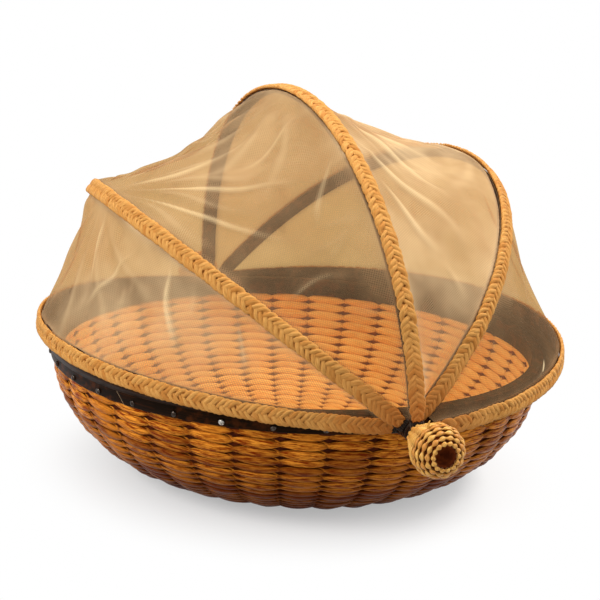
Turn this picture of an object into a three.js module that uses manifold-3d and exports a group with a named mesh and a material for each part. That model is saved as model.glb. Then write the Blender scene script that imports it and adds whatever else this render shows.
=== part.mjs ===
// Round woven fruit basket with a fold-back net lid.
// Millimetres, +Z up. X runs along the lid's pivot axis, -Y is the front, and the origin is the
// middle of the base board's underside, where the basket stands on the table.

import * as THREE from 'three';
import { mergeVertices } from 'three/addons/utils/BufferGeometryUtils.js';
import Module from 'manifold-3d';

const wasm = await Module();
wasm.setup();

// Driving sizes of the basket
const RIM_RADIUS = 150; // outer face of the outer rim band
const BASKET_HEIGHT = 80; // table to the top of the rim
const OUTER_BAND_HEIGHT = 12;
const INNER_BAND_HEIGHT = 11;
const BAND_THICKNESS = 2;
const RIM_WEAVE_THICKNESS = 2.6; // the wall where the two bands pinch it
const RIM_CAP_THICKNESS = 1.7;
const SHELL_LEDGE = 0.9; // how far the weave swells out below the outer band
const WALL_THICKNESS = 5;
const WALL_ROUNDNESS = 1.85; // exponent of the bowl's curve, 2 is a true ellipse
const OPENING_RADIUS = 74; // hole in the weave that the base board fills
const BOARD_THICKNESS = 4;
const TONGUE_THICKNESS = 1.2; // stake ends that enter the board's grooved edge
const TONGUE_DEPTH = 2;
const TABLE_GAP = 0.4; // the weave stays this far above the table
const RIB_COUNT = 36; // the weave swells out over each of its stakes
const RIB_DEPTH = 1.5; // valley between two ribs, on each face of the wall
const TOP_VALLEY_SHARE = 0.5; // the valleys are shallower where the bands pinch the wall

// Driving sizes of the rim nails
const NAIL_COUNT = 34;
const NAIL_HEAD_RADIUS = 2.1;
const NAIL_HEAD_HEIGHT = 1.1;
const NAIL_SHANK_RADIUS = 0.7;
const NAIL_LENGTH = 3.6;
const NAIL_EDGE_DISTANCE = 2.6; // centre of a nail above the band's lower edge

// Driving sizes of the pivots
const PIN_RADIUS = 2.2;
const PIN_DROP = 6.8; // pivot axis below the top of the rim
const COLLAR_RADIUS = 3.9;
const COLLAR_WIDTH = 3.9;
const LASHING_CORD_RADIUS = 0.5;
const LASHING_PITCH = 1.45;
const LASHING_TURNS = 2;
const KNOB_LENGTH = 34;
const KNOB_RADIUS = 14.2;
const KNOB_NECK_RADIUS = 6;
const KNOB_BORE_DEPTH = 12;
const KNOB_HOLLOW_RADIUS = 5.6; // open rosette in the knob's outer end
const KNOB_HOLLOW_DEPTH = 7;

// Driving sizes of the lid
const HOOP_REACH = 4.3; // a strip's inner face beyond the rim, at the middle of the hoop
const STRIP_WIDTH = 9;
const STRIP_THICKNESS = 1.8;
const EYE_RADIUS = 5;
const EYE_PITCH = 3.5; // step from one hoop's eye to the next along a pin
const BRAID_WIDTH = 9.5;
const BRAID_HEIGHT = 3.2;
const BRAID_END_HEIGHT = 1.1;
const BRAID_START = 14; // distance of a braid's end from the pivot axis
const BRAID_THIN_UNTIL = 46; // the braid is flat up to here, so folded hoops pass each other
const BRAID_FULL_FROM = 64;
const NET_THICKNESS = 0.6;
const NET_START_WIDTH = 4; // a panel's width at its ends, near the pins
const NET_PUCKER_DEPTH = 1.5;
const NET_PUCKERS = 5; // creases from pin to pin
const HOOP_REST = 5.5; // degrees that the front and rear hoops stand above the pivot's level

const SEAT_GAP = 0.3; // gap between pieces that touch

// Numbers of facets
const RING_SIDES = 2 * RIB_COUNT; // a column of points on each rib, and one in each valley
const WALL_STEPS = 8;
const HOOP_STEPS = 28;
const NET_STEPS_ALONG = 24;
const NET_STEPS_ACROSS = 6;

// Hoops from the front to the rear: angle above the front horizon, and place on the pins from the
// rim outwards. Neighbours in angle are never neighbours on the pins, so that they fold closely.
const HOOPS = [
  { name: 'front', angle: HOOP_REST, seat: 0 },
  { name: 'front_middle', angle: 38, seat: 2 },
  { name: 'top', angle: 85.5, seat: 4 },
  { name: 'rear_middle', angle: 131.5, seat: 1 },
  { name: 'rear', angle: 180 - HOOP_REST, seat: 3 },
];

// Net panels between neighbouring hoops, with the depth of each one's sag
const NET_PANELS = [
  { name: 'net_panel_front', sag: 4 },
  { name: 'net_panel_front_top', sag: 11 },
  { name: 'net_panel_rear_top', sag: 8 },
  { name: 'net_panel_rear', sag: 6 },
];

// Sizes that follow
const rimZoneOuter = RIM_RADIUS - BAND_THICKNESS - SEAT_GAP;
const rimZoneInner = rimZoneOuter - RIM_WEAVE_THICKNESS;
const innerBandOuter = rimZoneInner - SEAT_GAP;
const innerBandInner = innerBandOuter - BAND_THICKNESS;
const outerBandBottom = BASKET_HEIGHT - OUTER_BAND_HEIGHT;
const innerBandBottom = BASKET_HEIGHT - INNER_BAND_HEIGHT;
const capBottom = BASKET_HEIGHT - RIM_CAP_THICKNESS;
const shellOuter = rimZoneOuter + SHELL_LEDGE;
const shellInner = shellOuter - WALL_THICKNESS;
const pinHeight = BASKET_HEIGHT - PIN_DROP;
const collarStart = RIM_RADIUS + SEAT_GAP;
const firstEye = collarStart + COLLAR_WIDTH + SEAT_GAP;
const lastEye = firstEye + (HOOPS.length - 1) * EYE_PITCH;
const knobStart = lastEye + STRIP_THICKNESS + SEAT_GAP;
const hoopApex = RIM_RADIUS + HOOP_REACH;
const braidLevel = STRIP_THICKNESS + SEAT_GAP;
const netLevel = STRIP_THICKNESS + SEAT_GAP / 2;
const netEdge = Math.max(STRIP_WIDTH, BRAID_WIDTH) / 2 + SEAT_GAP;

// Finishes
const WEAVE = new THREE.MeshStandardMaterial({ color: 0xc07a30, roughness: 0.5, metalness: 0 });
const LACQUER = new THREE.MeshStandardMaterial({ color: 0x150a07, roughness: 0.3, metalness: 0 });
const BOARD = new THREE.MeshStandardMaterial({ color: 0x1c0d07, roughness: 0.35, metalness: 0 });
const STEEL = new THREE.MeshStandardMaterial({ color: 0xcfcdc8, roughness: 0.3, metalness: 1 });
const BRAID = new THREE.MeshStandardMaterial({ color: 0xb98444, roughness: 0.6, metalness: 0 });
const KNOB = new THREE.MeshStandardMaterial({ color: 0xd19a3e, roughness: 0.5, metalness: 0 });
const CORD = new THREE.MeshStandardMaterial({ color: 0x1a1714, roughness: 0.5, metalness: 0 });
const NET = new THREE.MeshStandardMaterial({
  color: 0xd8c39a,
  roughness: 0.8,
  metalness: 0,
  transparent: true,
  opacity: 0.5,
  side: THREE.DoubleSide,
});

const radians = THREE.MathUtils.degToRad;
const mix = THREE.MathUtils.lerp;

// Geometry helpers

function signedVolume(geometry) {
  const position = geometry.attributes.position;
  const index = geometry.index;
  const corner = [new THREE.Vector3(), new THREE.Vector3(), new THREE.Vector3()];
  let volume = 0;
  for (let i = 0; i < index.count; i += 3) {
    corner.forEach((c, k) => c.fromBufferAttribute(position, index.getX(i + k)));
    volume += corner[0].dot(corner[1].clone().cross(corner[2])) / 6;
  }
  return volume;
}

// A closed mesh with shared vertices, no empty triangles and its faces pointing out
function cleanSolid(geometry) {
  geometry.deleteAttribute('normal');
  geometry.deleteAttribute('uv');
  const merged = mergeVertices(geometry, 1e-4);
  const kept = [];
  for (let i = 0; i < merged.index.count; i += 3) {
    const [a, b, c] = [0, 1, 2].map((k) => merged.index.getX(i + k));
    if (a !== b && b !== c && c !== a) kept.push(a, b, c);
  }
  merged.setIndex(kept);
  if (signedVolume(merged) < 0) merged.setIndex(kept.reverse());
  merged.computeVertexNormals();
  return merged;
}

function solidOf(geometry) {
  const clean = cleanSolid(geometry.clone());
  const vertProperties = Float32Array.from(clean.attributes.position.array);
  const triVerts = Uint32Array.from(clean.index.array);
  return new wasm.Manifold(new wasm.Mesh({ numProp: 3, vertProperties, triVerts }));
}

function geometryOf(solid) {
  const mesh = solid.getMesh();
  const geometry = new THREE.BufferGeometry();
  geometry.setAttribute('position', new THREE.BufferAttribute(mesh.vertProperties, 3));
  geometry.setIndex(new THREE.BufferAttribute(mesh.triVerts, 1));
  geometry.computeVertexNormals();
  return geometry;
}

function cut(geometry, tools) {
  let solid = solidOf(geometry);
  for (const tool of tools) solid = solid.subtract(solidOf(tool));
  return geometryOf(solid);
}

// Revolved about Z, from a list of [radius, height]
function turned(profile, sides = RING_SIDES) {
  const points = profile.map(([r, z]) => new THREE.Vector2(r, z));
  return cleanSolid(new THREE.LatheGeometry(points, sides).rotateX(Math.PI / 2));
}

// Revolved about the pivot axis, from a list of [distance from the middle, radius]
function turnedOnAxis(profile, side, sides) {
  const points = profile.map(([x, r]) => new THREE.Vector2(r, x));
  return cleanSolid(new THREE.LatheGeometry(points, sides).rotateZ((-side * Math.PI) / 2));
}

// Revolved about Z, with every second column of points on the valley's profile
function fluted(ridge, valley, count) {
  const columns = 2 * count;
  const points = ridge.map(([r, z]) => new THREE.Vector2(r, z));
  const geometry = new THREE.LatheGeometry(points, columns);
  const position = geometry.attributes.position;
  for (let i = 1; i < columns; i += 2) {
    const turn = (i / columns) * 2 * Math.PI;
    valley.forEach(([r, z], j) => {
      position.setXYZ(i * valley.length + j, r * Math.sin(turn), z, r * Math.cos(turn));
    });
  }
  return cleanSolid(geometry.rotateX(Math.PI / 2));
}

function ring(inner, outer, bottom, top) {
  return turned([
    [inner, bottom],
    [outer, bottom],
    [outer, top],
    [inner, top],
    [inner, bottom],
  ]);
}

// A closed body through rings of points, each ring with the same number of points
function lofted(rings) {
  const count = rings[0].length;
  const positions = rings.flat().flatMap((p) => [p.x, p.y, p.z]);
  const index = [];
  for (let i = 0; i + 1 < rings.length; i += 1) {
    for (let j = 0; j < count; j += 1) {
      const a = i * count + j;
      const b = i * count + ((j + 1) % count);
      index.push(a, b, a + count, b, b + count, a + count);
    }
  }
  const last = (rings.length - 1) * count;
  for (let j = 1; j + 1 < count; j += 1) {
    index.push(0, j + 1, j);
    index.push(last, last + j, last + j + 1);
  }
  const geometry = new THREE.BufferGeometry();
  geometry.setAttribute('position', new THREE.Float32BufferAttribute(positions, 3));
  geometry.setIndex(index);
  return cleanSolid(geometry);
}

// A rod of the given radius that points out of the basket's axis at an angle and height
function radialRod(radius, from, to, angle, height, sides) {
  const rod = new THREE.CylinderGeometry(radius, radius, to - from, sides);
  rod.rotateZ(-Math.PI / 2);
  rod.translate((from + to) / 2, 0, 0);
  rod.rotateZ(angle);
  rod.translate(0, 0, height);
  return rod;
}

function named(name, geometry, material) {
  const mesh = new THREE.Mesh(geometry, material.clone());
  mesh.name = name;
  return mesh;
}

// Bowl

// Points down the bowl's curve, from the ledge under a band to the edge of the base opening
function wallCurve(topRadius, topHeight, bottomHeight) {
  const power = 2 / WALL_ROUNDNESS;
  const points = [];
  for (let i = 0; i <= WALL_STEPS; i += 1) {
    const turn = (i / WALL_STEPS) * (Math.PI / 2);
    const across = Math.max(Math.cos(turn), 0) ** power;
    const down = Math.sin(turn) ** power;
    points.push([
      OPENING_RADIUS + (topRadius - OPENING_RADIUS) * across,
      topHeight - (topHeight - bottomHeight) * down,
    ]);
  }
  return points;
}

// The curve drawn towards the wall's other face, by a depth that ends at the base opening
function sunk(curve, other, depth) {
  return curve.map(([r, z], i) => {
    let share = depth / WALL_THICKNESS;
    if (i === 0) share *= TOP_VALLEY_SHARE;
    if (i === WALL_STEPS) share = 0;
    return [mix(r, other[i][0], share), mix(z, other[i][1], share)];
  });
}

// The bowl's section, with both faces of its wall sunk by a depth
function bowlProfile(depth) {
  const top = capBottom - SEAT_GAP;
  const outerLedge = outerBandBottom - SEAT_GAP;
  const innerLedge = innerBandBottom - SEAT_GAP;
  const tongueMiddle = BOARD_THICKNESS / 2;
  const tongueLow = tongueMiddle - TONGUE_THICKNESS / 2;
  const tongueHigh = tongueMiddle + TONGUE_THICKNESS / 2;
  const tongueTip = OPENING_RADIUS - TONGUE_DEPTH;
  const outerFace = wallCurve(shellOuter, outerLedge, TABLE_GAP);
  const innerFace = wallCurve(shellInner, innerLedge, TABLE_GAP + WALL_THICKNESS);
  const outer = sunk(outerFace, innerFace, depth);
  const inner = sunk(innerFace, outerFace, depth).reverse();
  return [
    [rimZoneOuter, top],
    [rimZoneOuter, outerLedge],
    ...outer,
    [OPENING_RADIUS, tongueLow],
    [tongueTip, tongueLow],
    [tongueTip, tongueHigh],
    [OPENING_RADIUS, tongueHigh],
    ...inner,
    [rimZoneInner, innerLedge],
    [rimZoneInner, top],
    [rimZoneOuter, top],
  ];
}

function boardProfile() {
  const edge = OPENING_RADIUS - SEAT_GAP;
  const grooveFloor = OPENING_RADIUS - TONGUE_DEPTH - SEAT_GAP;
  const grooveHalf = TONGUE_THICKNESS / 2 + SEAT_GAP;
  const middle = BOARD_THICKNESS / 2;
  return [
    [0, 0],
    [edge, 0],
    [edge, middle - grooveHalf],
    [grooveFloor, middle - grooveHalf],
    [grooveFloor, middle + grooveHalf],
    [edge, middle + grooveHalf],
    [edge, BOARD_THICKNESS],
    [0, BOARD_THICKNESS],
  ];
}

// Rim

const nailHeight = outerBandBottom + NAIL_EDGE_DISTANCE;
const nailAngles = Array.from({ length: NAIL_COUNT }, (_, i) => ((i + 0.5) / NAIL_COUNT) * 2 * Math.PI);

function pinHoles() {
  const radius = PIN_RADIUS + SEAT_GAP;
  const from = innerBandInner - BAND_THICKNESS;
  const to = RIM_RADIUS + BAND_THICKNESS;
  return [0, Math.PI].map((angle) => radialRod(radius, from, to, angle, pinHeight, 12));
}

function nailHoles() {
  const radius = NAIL_SHANK_RADIUS + SEAT_GAP;
  const from = RIM_RADIUS - NAIL_LENGTH - SEAT_GAP;
  const to = RIM_RADIUS + BAND_THICKNESS;
  return nailAngles.map((angle) => radialRod(radius, from, to, angle, nailHeight, 6));
}

function nail(angle) {
  const seat = RIM_RADIUS + SEAT_GAP;
  const profile = [
    [RIM_RADIUS - NAIL_LENGTH, 0],
    [RIM_RADIUS - NAIL_LENGTH, NAIL_SHANK_RADIUS],
    [seat, NAIL_SHANK_RADIUS],
    [seat, NAIL_HEAD_RADIUS],
    [seat + NAIL_HEAD_HEIGHT * 0.75, NAIL_HEAD_RADIUS * 0.6],
    [seat + NAIL_HEAD_HEIGHT, 0],
  ];
  const geometry = turnedOnAxis(profile, 1, 6);
  return geometry.rotateZ(angle).translate(0, 0, nailHeight);
}

function basketPieces() {
  const holes = [...pinHoles(), ...nailHoles()];
  const bowl = fluted(bowlProfile(0), bowlProfile(RIB_DEPTH), RIB_COUNT);
  const outerBand = ring(RIM_RADIUS - BAND_THICKNESS, RIM_RADIUS, outerBandBottom, BASKET_HEIGHT);
  const innerBand = ring(innerBandInner, innerBandOuter, innerBandBottom, BASKET_HEIGHT);
  const pieces = [
    named('base_board', turned(boardProfile()), BOARD),
    named('woven_bowl', cut(bowl, holes), WEAVE),
    named('rim_band_outer', cut(outerBand, holes), LACQUER),
    named('rim_band_inner', cut(innerBand, pinHoles()), LACQUER),
    named('rim_cap', ring(rimZoneInner, rimZoneOuter, capBottom, BASKET_HEIGHT), LACQUER),
  ];
  nailAngles.forEach((angle, i) => {
    const number = String(i + 1).padStart(2, '0');
    pieces.push(named(`rim_nail_${number}`, nail(angle), STEEL));
  });
  return pieces;
}

// Pivots

const boreEnd = knobStart + KNOB_BORE_DEPTH;

function pivotPin(side) {
  const profile = [
    [innerBandInner, 0],
    [innerBandInner, PIN_RADIUS],
    [collarStart, PIN_RADIUS],
    [collarStart, COLLAR_RADIUS],
    [collarStart + COLLAR_WIDTH, COLLAR_RADIUS],
    [collarStart + COLLAR_WIDTH, PIN_RADIUS],
    [boreEnd - SEAT_GAP, PIN_RADIUS],
    [boreEnd - SEAT_GAP, 0],
  ];
  return turnedOnAxis(profile, side, 12);
}

// Pear-shaped knob: narrow neck, widest at about two thirds, an open hollow in its rounded end
function pivotKnob(side) {
  const along = (share) => knobStart + KNOB_LENGTH * share;
  const across = (share) => mix(KNOB_NECK_RADIUS, KNOB_RADIUS, share);
  const hollowFloor = knobStart + KNOB_LENGTH - KNOB_HOLLOW_DEPTH;
  const profile = [
    [boreEnd, 0],
    [boreEnd, PIN_RADIUS + SEAT_GAP],
    [knobStart, PIN_RADIUS + SEAT_GAP],
    [knobStart, KNOB_NECK_RADIUS],
    [along(0.18), across(0.26)],
    [along(0.38), across(0.66)],
    [along(0.58), across(0.95)],
    [along(0.72), across(1)],
    [along(0.86), across(0.84)],
    [along(0.96), across(0.46)],
    [along(1), KNOB_HOLLOW_RADIUS + 1],
    [along(0.98), KNOB_HOLLOW_RADIUS],
    [hollowFloor, KNOB_HOLLOW_RADIUS * 0.7],
    [hollowFloor, 0],
  ];
  return turnedOnAxis(profile, side, 20);
}

// Centre line of the cord wound on a pin's collar, with a short straight tail at each end
function lashingPath(side) {
  const radius = COLLAR_RADIUS + SEAT_GAP + LASHING_CORD_RADIUS;
  const start = collarStart + (COLLAR_WIDTH - LASHING_TURNS * LASHING_PITCH) / 2;
  const stepsPerTurn = 16;
  const steps = LASHING_TURNS * stepsPerTurn;
  const tail = 2 * LASHING_CORD_RADIUS;
  const points = [];
  for (let i = 0; i <= steps; i += 1) {
    const turn = (i / stepsPerTurn) * 2 * Math.PI;
    const x = side * (start + (LASHING_PITCH * i) / stepsPerTurn);
    points.push(new THREE.Vector3(x, radius * Math.sin(turn), -radius * Math.cos(turn)));
  }
  points.unshift(points[0].clone().add(new THREE.Vector3(0, -tail, 0)));
  points.push(points[points.length - 1].clone().add(new THREE.Vector3(0, tail, 0)));
  return points;
}

function pivotLashing(side) {
  const path = lashingPath(side);
  const sides = 6;
  const rings = path.map((point, i) => {
    const before = path[Math.max(i - 1, 0)];
    const after = path[Math.min(i + 1, path.length - 1)];
    const tangent = after.clone().sub(before).normalize();
    const sideways = new THREE.Vector3(1, 0, 0);
    sideways.addScaledVector(tangent, -sideways.dot(tangent)).normalize();
    const outward = tangent.clone().cross(sideways);
    return Array.from({ length: sides }, (_, k) => {
      const turn = (k / sides) * 2 * Math.PI;
      return point
        .clone()
        .addScaledVector(sideways, LASHING_CORD_RADIUS * Math.cos(turn))
        .addScaledVector(outward, LASHING_CORD_RADIUS * Math.sin(turn));
    });
  });
  return lofted(rings);
}

// Least clear distance between neighbouring turns of the lashing, measured on its path's points
function lashingGap() {
  const path = lashingPath(1);
  const nearTurn = 8;
  let least = Infinity;
  path.forEach((p, i) => {
    for (let j = i + nearTurn; j < path.length; j += 1) least = Math.min(least, p.distanceTo(path[j]));
  });
  return least - 2 * LASHING_CORD_RADIUS;
}

function pivotPieces() {
  const pieces = [];
  for (const [word, side] of [['right', 1], ['left', -1]]) {
    pieces.push(named(`pivot_pin_${word}`, pivotPin(side), LACQUER));
    pieces.push(named(`pivot_lashing_${word}`, pivotLashing(side), CORD));
    pieces.push(named(`pivot_knob_${word}`, pivotKnob(side), KNOB));
  }
  pieces.forEach((piece) => piece.position.set(0, 0, pinHeight));
  return pieces;
}

// Lid

// A point of a hoop before it is turned up to its angle: psi runs from the right pin over the
// hoop to the left pin, level is the distance out of the strip's inner face, across goes rearwards
function hoopPoint(hoop, psi, level, across) {
  const reach = firstEye + hoop.seat * EYE_PITCH;
  const outX = hoopApex * Math.cos(psi);
  const outY = -reach * Math.sin(psi);
  const length = Math.hypot(outX, outY);
  return new THREE.Vector3(
    reach * Math.cos(psi) + (level * outX) / length,
    -hoopApex * Math.sin(psi) + (level * outY) / length,
    across,
  );
}

function raised(point, hoop) {
  return point.applyAxisAngle(new THREE.Vector3(1, 0, 0), -radians(hoop.angle)).add(
    new THREE.Vector3(0, 0, pinHeight),
  );
}

function hoopStrip(hoop) {
  const half = STRIP_WIDTH / 2;
  const eyeEdge = Math.asin(EYE_RADIUS / hoopApex);
  const between = Array.from({ length: HOOP_STEPS + 1 }, (_, i) => i / HOOP_STEPS);
  const turns = [0, ...between.map((share) => mix(eyeEdge, Math.PI - eyeEdge, share)), Math.PI];
  const rings = turns.map((psi) => [
    hoopPoint(hoop, psi, 0, -half),
    hoopPoint(hoop, psi, 0, half),
    hoopPoint(hoop, psi, STRIP_THICKNESS, half),
    hoopPoint(hoop, psi, STRIP_THICKNESS, -half),
  ]);
  const inner = firstEye + hoop.seat * EYE_PITCH;
  const outer = inner + STRIP_THICKNESS;
  let solid = solidOf(lofted(rings));
  for (const angle of [0, Math.PI]) {
    solid = solid.add(solidOf(radialRod(EYE_RADIUS, inner, outer, angle, 0, 14)));
  }
  for (const angle of [0, Math.PI]) {
    const hole = radialRod(PIN_RADIUS + SEAT_GAP, inner - 2, outer + 2, angle, 0, 12);
    solid = solid.subtract(solidOf(hole));
  }
  return geometryOf(solid);
}

function braidHeight(distance) {
  const grown = THREE.MathUtils.smoothstep(distance, BRAID_THIN_UNTIL, BRAID_FULL_FROM);
  return mix(BRAID_END_HEIGHT, BRAID_HEIGHT, grown);
}

function hoopBraid(hoop) {
  const start = Math.asin(BRAID_START / hoopApex);
  const bulgePoints = 5;
  const rings = [];
  for (let i = 0; i <= HOOP_STEPS; i += 1) {
    const psi = mix(start, Math.PI - start, i / HOOP_STEPS);
    const height = braidHeight(hoopApex * Math.sin(psi));
    rings.push(
      Array.from({ length: bulgePoints + 1 }, (_, k) => {
        const turn = (k / bulgePoints) * Math.PI;
        const level = braidLevel + height * Math.sin(turn);
        return hoopPoint(hoop, psi, level, (BRAID_WIDTH / 2) * Math.cos(turn));
      }),
    );
  }
  return lofted(rings);
}

// Net stretched between two hoops. It runs straight across, sags towards the middle of the lid
// and has shallow creases that run from hoop to hoop.
function netPanel(front, rear, sag) {
  const between = radians(rear.angle - front.angle);
  const startReach = (2 * netEdge + NET_START_WIDTH) / between;
  const start = Math.asin(startReach / hoopApex);
  const middle = new THREE.Vector3(0, 0, pinHeight);
  const layers = [[], []];
  for (let i = 0; i <= NET_STEPS_ALONG; i += 1) {
    const psi = mix(start, Math.PI - start, i / NET_STEPS_ALONG);
    const from = raised(hoopPoint(front, psi, netLevel, netEdge), front);
    const to = raised(hoopPoint(rear, psi, netLevel, -netEdge), rear);
    for (let j = 0; j <= NET_STEPS_ACROSS; j += 1) {
      const v = j / NET_STEPS_ACROSS;
      const point = from.clone().lerp(to, v);
      const inward = middle.clone().sub(point).normalize();
      const hang = sag * 4 * v * (1 - v) * Math.sin(psi) ** 1.5;
      const pucker = NET_PUCKER_DEPTH * Math.sin(Math.PI * v) * Math.cos(2 * NET_PUCKERS * psi);
      point.addScaledVector(inward, hang + pucker);
      layers[0].push(point.clone().addScaledVector(inward, -NET_THICKNESS / 2));
      layers[1].push(point.clone().addScaledVector(inward, NET_THICKNESS / 2));
    }
  }
  return sheetSolid(layers, NET_STEPS_ALONG + 1, NET_STEPS_ACROSS + 1);
}

// A closed body between two grids of points, rows by columns
function sheetSolid(layers, rows, columns) {
  const positions = layers.flat().flatMap((p) => [p.x, p.y, p.z]);
  const lower = rows * columns;
  const index = [];
  const quad = (a, b, c, d) => index.push(a, b, c, a, c, d);
  for (let i = 0; i + 1 < rows; i += 1) {
    for (let j = 0; j + 1 < columns; j += 1) {
      const a = i * columns + j;
      quad(a, a + 1, a + columns + 1, a + columns);
      quad(lower + a, lower + a + columns, lower + a + columns + 1, lower + a + 1);
    }
  }
  for (let i = 0; i + 1 < rows; i += 1) {
    const a = i * columns;
    const b = a + columns - 1;
    quad(a, a + columns, lower + a + columns, lower + a);
    quad(b, lower + b, lower + b + columns, b + columns);
  }
  for (let j = 0; j + 1 < columns; j += 1) {
    const b = (rows - 1) * columns + j;
    quad(j, lower + j, lower + j + 1, j + 1);
    quad(b, b + 1, lower + b + 1, lower + b);
  }
  const geometry = new THREE.BufferGeometry();
  geometry.setAttribute('position', new THREE.Float32BufferAttribute(positions, 3));
  geometry.setIndex(index);
  return cleanSolid(geometry);
}

function lidPieces() {
  const pieces = [];
  for (const hoop of HOOPS) {
    const group = new THREE.Group();
    group.position.set(0, 0, pinHeight);
    group.rotation.set(-radians(hoop.angle), 0, 0);
    group.add(named(`hoop_strip_${hoop.name}`, hoopStrip(hoop), LACQUER));
    group.add(named(`hoop_braid_${hoop.name}`, hoopBraid(hoop), BRAID));
    pieces.push(group);
  }
  NET_PANELS.forEach((panel, i) => {
    pieces.push(named(panel.name, netPanel(HOOPS[i], HOOPS[i + 1], panel.sag), NET));
  });
  return pieces;
}

console.log(`least gap between turns of a lashing: ${lashingGap().toFixed(2)} mm`);

const basket = new THREE.Group();
basket.name = 'lidded_fruit_basket';
basket.add(...basketPieces(), ...pivotPieces(), ...lidPieces());

export default basket;
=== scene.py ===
"""Looks of a round woven fruit basket with a folding net lid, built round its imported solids."""

import math

import bpy
import numpy as np
from mathutils import Matrix, Vector


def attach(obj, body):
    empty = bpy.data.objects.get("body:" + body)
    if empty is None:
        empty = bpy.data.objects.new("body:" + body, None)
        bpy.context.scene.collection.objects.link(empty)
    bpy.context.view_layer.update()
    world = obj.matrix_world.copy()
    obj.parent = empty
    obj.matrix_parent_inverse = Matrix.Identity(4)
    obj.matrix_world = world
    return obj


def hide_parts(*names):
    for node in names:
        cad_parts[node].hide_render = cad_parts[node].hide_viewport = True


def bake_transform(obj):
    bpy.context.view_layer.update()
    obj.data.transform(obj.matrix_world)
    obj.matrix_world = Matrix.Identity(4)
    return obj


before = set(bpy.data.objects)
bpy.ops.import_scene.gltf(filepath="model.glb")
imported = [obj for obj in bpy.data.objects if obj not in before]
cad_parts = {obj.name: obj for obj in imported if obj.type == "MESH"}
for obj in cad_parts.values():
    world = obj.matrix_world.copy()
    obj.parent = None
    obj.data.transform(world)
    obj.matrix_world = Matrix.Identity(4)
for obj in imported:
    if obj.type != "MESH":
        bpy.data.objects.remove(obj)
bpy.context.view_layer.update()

# Sizes in millimetres, as the solids have them
RIM_RADIUS = 150.0
BASKET_HEIGHT = 80.0
OUTER_BAND_BOTTOM = 68.0
INNER_BAND_BOTTOM = 69.0
BAND_THICKNESS = 2.0
RIM_ZONE_OUTER = 147.7
RIM_ZONE_INNER = 145.1
INNER_BAND_OUTER = 144.8
INNER_BAND_INNER = 142.8
CAP_BOTTOM = 78.3
SHELL_OUTER = 148.6
SHELL_INNER = 143.6
SHELL_OUTER_TOP = 67.7
SHELL_INNER_TOP = 68.7
OPENING_RADIUS = 74.0
WALL_THICKNESS = 5.0
WALL_POWER = 2 / 1.85
TABLE_GAP = 0.4
NAIL_COUNT = 34
NAIL_RADIUS = 1.85
NAIL_RISE = 1.0
NAIL_HEIGHT = 70.6
NAIL_SEAT = 150.3
PIN_RADIUS = 2.2
PIN_HEIGHT = 73.2
COLLAR_START = 150.3
COLLAR_WIDTH = 3.9
COLLAR_RADIUS = 3.9
FIRST_EYE = 154.5
EYE_PITCH = 3.5
EYE_RADIUS = 5.0
KNOB_START = 170.6
KNOB_LENGTH = 34.0
KNOB_RADIUS = 14.2
KNOB_NECK_RADIUS = 6.0
HOOP_APEX = 154.3
STRIP_WIDTH = 9.0
STRIP_THICKNESS = 1.8
STRIP_START = 3.6
STRIP_LEAST = 0.72
SKIRT_BOTTOM = 75.4
SKIRT_FOOT_RADIUS = 150.8
SKIRT_START = 18.0
BRAID_WIDTH = 9.5
BRAID_LEVEL = 2.1
BRAID_HEIGHT = 3.2
BRAID_END_HEIGHT = 1.1
BRAID_START = 8.2
BRAID_LEAST = 0.5
BRAID_THIN_UNTIL = 46.0
BRAID_FULL_FROM = 64.0
NET_LEVEL = 1.95
NET_EDGE = 5.05
NET_START_WIDTH = 0.3
NET_PUCKER_DEPTH = 1.5
NET_PUCKERS = 5

# name, angle above the front of the rim in degrees, place on the pins, body
HOOPS = [
    ("front", 5.5, 0, "hoop_front"),
    ("front_middle", 38.0, 2, "hoop_front_middle"),
    ("top", 85.5, 4, "hoop_top"),
    ("rear_middle", 131.5, 1, "hoop_rear_middle"),
    ("rear", 174.5, 3, "basket"),
]
# The two hoops that lie on the rim, and which way across the strip is down
SKIRTS = {"front": -1, "rear": 1}

# Azimuth of the lap in the rim band, in degrees from the right pin
RIM_SEAM = -64.5

# Counts, and sizes in millimetres, of what only the scene has
WEAVE_ROWS = 20
WEAVE_STAKES = 36
WEAVE_START = -1.0
WEAVE_LAST_PITCH = 0.8
STRAND_HALF = 1.3
STAKE_STEPS = 12
KNOB_ROWS = 13
KNOB_STAKES = 14
KNOB_REACH = 0.8
KNOB_STRAND_HALF = 0.62
BRAID_STRAWS = 5
BRAID_LAY = 17.0
NET_PITCH = 1.25
NET_TUCK = 1.6
NET_ROWS = 330
NET_COLUMNS = 74

MM = 0.001
TURN = 2 * math.pi


# Materials


def linear(red, green, blue):
    """A colour as it looks on a screen, in parts of 255, as the light that a shader takes."""
    return tuple(((c / 255 + 0.055) / 1.055) ** 2.4 if c > 10 else c / 255 / 12.92 for c in (red, green, blue)) + (1.0,)


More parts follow.
